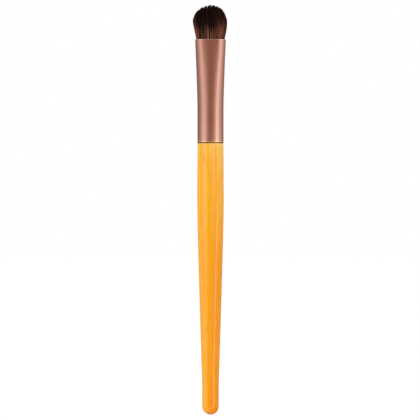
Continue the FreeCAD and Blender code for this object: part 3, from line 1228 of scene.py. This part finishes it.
@dataclass
class Studio:
    """White floor, soft light from both sides, rings and a card for the reflections, and the camera.

    The camera stands where the photograph's frame puts it: the pixels place the brush in a square frame.
    """

    # The photograph's frame in its pixels, and the camera.
    frame_pixels: float = 420.0
    top_pixel: float = 5.0
    tail_pixel: float = 414.6
    axis_pixel: float = 210.5
    camera_distance: float = 0.9
    sensor: float = 36.0
    # The floor and the room.
    floor_size: float = 6.0
    floor_paper: Colour = (0.9, 0.9, 0.9, 1.0)
    floor_share: float = 0.92
    floor_glow: float = 1.06
    fill: float = 0.54
    # The two soft lights.
    light_distance: float = 0.8
    light_width: float = 0.5
    light_height: float = 0.9
    light_turn: float = 57.0
    light_rise: float = 0.25
    left_glow: float = 2.75
    right_glow: float = 2.65
    # The card below the tail.
    card_place: tuple[float, float, float] = (-0.038, -0.0315, -0.054)
    card_size: float = 0.0225
    card_glow: float = 15.0
    # The rings: the lower one is dimmed towards the neck, and the upper one at the barrel.
    ring_radius: float = 0.6
    ring_reach: float = 0.75
    ring_faces: int = 72
    ring_parting: float = 0.114
    handle_slant: float = 150.0
    slant_height: float = 0.078
    neck_fade: Pair = (0.03, 0.09)
    neck_limit: float = 2.8
    barrel_limit: float = 1.3
    mouth_fade: Pair = (0.12, 0.175)
    handle_ring: tuple[Glow, ...] = (
        Glow(-90, 0.74),
        Glow(-69, 1.75),
        Glow(-57, 2.0),
        Glow(-47, 1.6),
        Glow(-35, 1.2),
        Glow(-29, 0.9, "f6ebe4"),
        Glow(-22, 0.48, "ffe2cc"),
        Glow(8, 0.46, "ffdcc2"),
        Glow(40, 0.54),
        Glow(58.5, 0.9),
        Glow(61, 9.5, "ffeece"),
        Glow(72, 9.5, "ffeece"),
        Glow(74.5, 0.9),
        Glow(95, 0.8),
        Glow(112, 0.6, "fff0e0"),
        *RING_BACK,
    )
    ferrule_ring: tuple[Glow, ...] = (
        Glow(-90, 0.74),
        Glow(-78, 1.0),
        Glow(-64, 1.34),
        Glow(-52, 1.34),
        Glow(-42, 1.1),
        Glow(-30, 0.84, "f6ebe4"),
        Glow(-25, 0.7, "f6ebe4"),
        Glow(-19, 0.46, "ffdcc2"),
        Glow(8, 0.38, "ffd0b0"),
        Glow(24, 0.42, "ffdcc4"),
        Glow(34, 0.56),
        Glow(45, 0.9),
        Glow(54, 1.4, "f0f8ff"),
        Glow(59, 1.8, "e6f3ff"),
        Glow(62, 2.2, "c8eaff"),
        Glow(69, 2.2, "c8eaff"),
        Glow(72, 1.6, "d8eeff"),
        Glow(80, 1.42),
        Glow(90, 1.15),
        Glow(100, 0.9),
        Glow(112, 0.66, "fff0e0"),
        *RING_BACK,
    )
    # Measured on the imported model.
    middle: float = field(init=False)
    pixel: float = field(init=False)

    def __post_init__(self) -> None:
        """Finds the photograph's scale from the brush's length."""
        low, high = CAD_BOX
        self.middle = 0.5 * (low.z + high.z)
        self.pixel = (high.z - low.z) / (self.tail_pixel - self.top_pixel)

    def build(self) -> None:
        """Builds the whole studio."""
        self._floor()
        neck_ring = dimmed(self.handle_ring, self.neck_limit)
        barrel_ring = dimmed(self.ferrule_ring, self.barrel_limit)
        self._ring(
            "lower_ring",
            (-self.ring_reach, self.ring_parting),
            (self.handle_ring, neck_ring),
            self.neck_fade,
            self.handle_slant,
        )
        self._ring(
            "upper_ring",
            (self.ring_parting, self.ring_reach),
            (barrel_ring, self.ferrule_ring),
            self.mouth_fade,
            0.0,
        )
        self._card()
        self._light("left_light", -self.light_turn, self.left_glow)
        self._light("right_light", self.light_turn, self.right_glow)
        self._world()
        self._camera()
        bpy.context.scene.view_settings.view_transform = "Standard"

    def _stage(
        self,
        name: str,
        points: Sequence[Sequence[float]],
        faces: Sequence[Sequence[int]],
        material: bpy.types.Material,
    ) -> bpy.types.Object:
        """Makes a mesh that isn't part of the brush.

        Args:
            name: The object's name.
            points: Its points.
            faces: Its faces' point numbers.
            material: Its finish.

        Returns:
            The new object, in the scene.
        """
        mesh = bpy.data.meshes.new(name)
        mesh.from_pydata(points, [], faces)
        mesh.materials.append(material)
        piece = bpy.data.objects.new(name, mesh)
        bpy.context.scene.collection.objects.link(piece)
        LOG.info("%s: stage", name)
        return piece

    def _floor(self) -> None:
        """Lays a white floor that shows the brush's shadow faintly."""
        tree = MaterialTree("white_paper")
        paper = tree.add("ShaderNodeBsdfDiffuse", sockets={"Color": self.floor_paper})
        white = tree.add("ShaderNodeEmission", sockets={"Strength": self.floor_glow})
        shown = tree.add(
            "ShaderNodeMixShader",
            sockets={0: self.floor_share * tree.seen(), 1: paper.outputs[0], 2: white.outputs[0]},
        )
        floor = self._stage("floor", square(self.floor_size), [(0, 1, 2, 3)], tree.close(shown))
        floor.visible_glossy = False

    def _ring(
        self,
        name: str,
        edges: Pair,
        glows: tuple[Sequence[Glow], Sequence[Glow]],
        fade: Pair,
        slant: float,
    ) -> None:
        """Stands a ring of light and dark round the brush, which only its gloss sees.

        Args:
            name: The ring's name.
            edges: The heights of its lower and upper edge.
            glows: Its lower and its upper light, each in the order of the angles.
            fade: The heights between which the lower light passes into the upper.
            slant: How many degrees its light turns towards +X for each metre of height.
        """
        peak = max(glow.strength for level in glows for glow in level)
        tree = MaterialTree(name)
        place = tree.place()
        gradient = tree.add("ShaderNodeTexGradient", {"gradient_type": "RADIAL"}, {0: place})
        height = tree.parts_of(place)[2]
        turn = Quantity(tree, gradient.outputs["Fac"]) - (slant / 360) * (height - self.slant_height)
        light = tree.mix(
            tree.step(height, *fade),
            self._glow_ramp(tree, turn, glows[0], peak),
            self._glow_ramp(tree, turn, glows[1], peak),
        )
        shine = tree.add("ShaderNodeEmission", sockets={"Color": light, "Strength": peak})
        circle = self.ring_radius * around(np.linspace(0, TURN, self.ring_faces, endpoint=False))
        points = [(x, y, z) for x, y in circle.tolist() for z in edges]
        count = len(points)
        faces = [(n, (n + 2) % count, (n + 3) % count, n + 1) for n in range(0, count, 2)]
        self._show_in_gloss(self._stage(name, points, faces, tree.close(shine)))

    def _glow_ramp(
        self, tree: MaterialTree, turn: Quantity, glows: Sequence[Glow], peak: float
    ) -> bpy.types.NodeSocket:
        """Lays lights round a ring.

        Args:
            tree: The ring's material.
            turn: The way round, from 0 to 1.
            glows: The lights, in the order of the angles.
            peak: The brightness that a full colour stands for.

        Returns:
            The colour.
        """
        stops = []
        for glow in glows:
            shares = [channel * glow.strength / peak for channel in paint(glow.colour)[:3]]
            stops.append(((glow.turn + 90) / 360, (*shares, 1.0)))
        return tree.add("ShaderNodeValToRGB", {"stops": stops}, {0: turn}).outputs[0]

    def _card(self) -> None:
        """Lays a small bright card below the tail, which the tail's round end mirrors as a spot."""
        tree = MaterialTree("tail_card")
        shine = tree.add("ShaderNodeEmission", sockets={"Strength": self.card_glow})
        centre = Vector(self.card_place)
        turned = (-centre).to_track_quat("Z", "Y")
        corners = [turned @ corner + centre for corner in square(self.card_size)]
        self._show_in_gloss(self._stage("tail_card", corners, [(0, 1, 2, 3)], tree.close(shine)))

    def _show_in_gloss(self, piece: bpy.types.Object) -> None:
        """Hides a piece of the stage from everything but gloss.

        Args:
            piece: The piece.
        """
        piece.visible_camera = False
        piece.visible_diffuse = False
        piece.visible_transmission = False
        piece.visible_shadow = False

    def _light(self, name: str, turn: float, glow: float) -> None:
        """Hangs one soft light.

        Args:
            name: The light's name.
            turn: Its angle from the camera's side, towards +X.
            glow: Its brightness.
        """
        lamp = bpy.data.lights.new(name, "AREA")
        lamp.shape = "RECTANGLE"
        lamp.size = self.light_width
        lamp.size_y = self.light_height
        lamp.energy = glow * math.pi * self.light_width * self.light_height
        light = bpy.data.objects.new(name, lamp)
        angle = math.radians(turn)
        away = Vector((math.sin(angle), -math.cos(angle), self.light_rise))
        light.location = away * self.light_distance + Vector((0, 0, self.middle))
        light.rotation_euler = (-away).to_track_quat("-Z", "Y").to_euler()
        light.visible_glossy = False
        bpy.context.scene.collection.objects.link(light)
        LOG.info("%s: light", name)

    def _world(self) -> None:
        """Makes a world that is white to look at and lights the brush softly."""
        world = bpy.data.worlds.new("white_room")
        world.use_nodes = True
        bpy.context.scene.world = world
        tree = ShaderTree(world.node_tree)
        strength = self.fill + (1 - self.fill) * tree.seen()
        room = tree.add("ShaderNodeBackground", sockets={"Color": (1, 1, 1, 1), "Strength": strength})
        tree.add("ShaderNodeOutputWorld", sockets={"Surface": room.outputs[0]})

    def _camera(self) -> None:
        """Sets the camera level, square to the brush, so that the brush fills the photograph's pixels."""
        eye = bpy.data.cameras.new("camera")
        eye.sensor_width = self.sensor
        eye.lens = self.sensor * self.camera_distance / (self.frame_pixels * self.pixel)
        camera = bpy.data.objects.new("camera", eye)
        half = 0.5 * self.frame_pixels
        camera.location = (
            (half - self.axis_pixel) * self.pixel,
            -self.camera_distance,
            CAD_BOX[0].z + (self.tail_pixel - half) * self.pixel,
        )
        camera.rotation_euler = (0.5 * math.pi, 0, 0)
        bpy.context.scene.collection.objects.link(camera)
        bpy.context.scene.camera = camera


def main() -> None:
    """Builds the studio and the brush, piece by piece."""
    logging.basicConfig(level=logging.INFO, format="%(name)s %(message)s")
    Studio().build()
    Handle().dress()
    Ferrule().dress()
    filament = DyedFilament().material()
    Tuft().build(filament)
    RootBundle().build(filament)


if __name__ == "__main__":
    main()
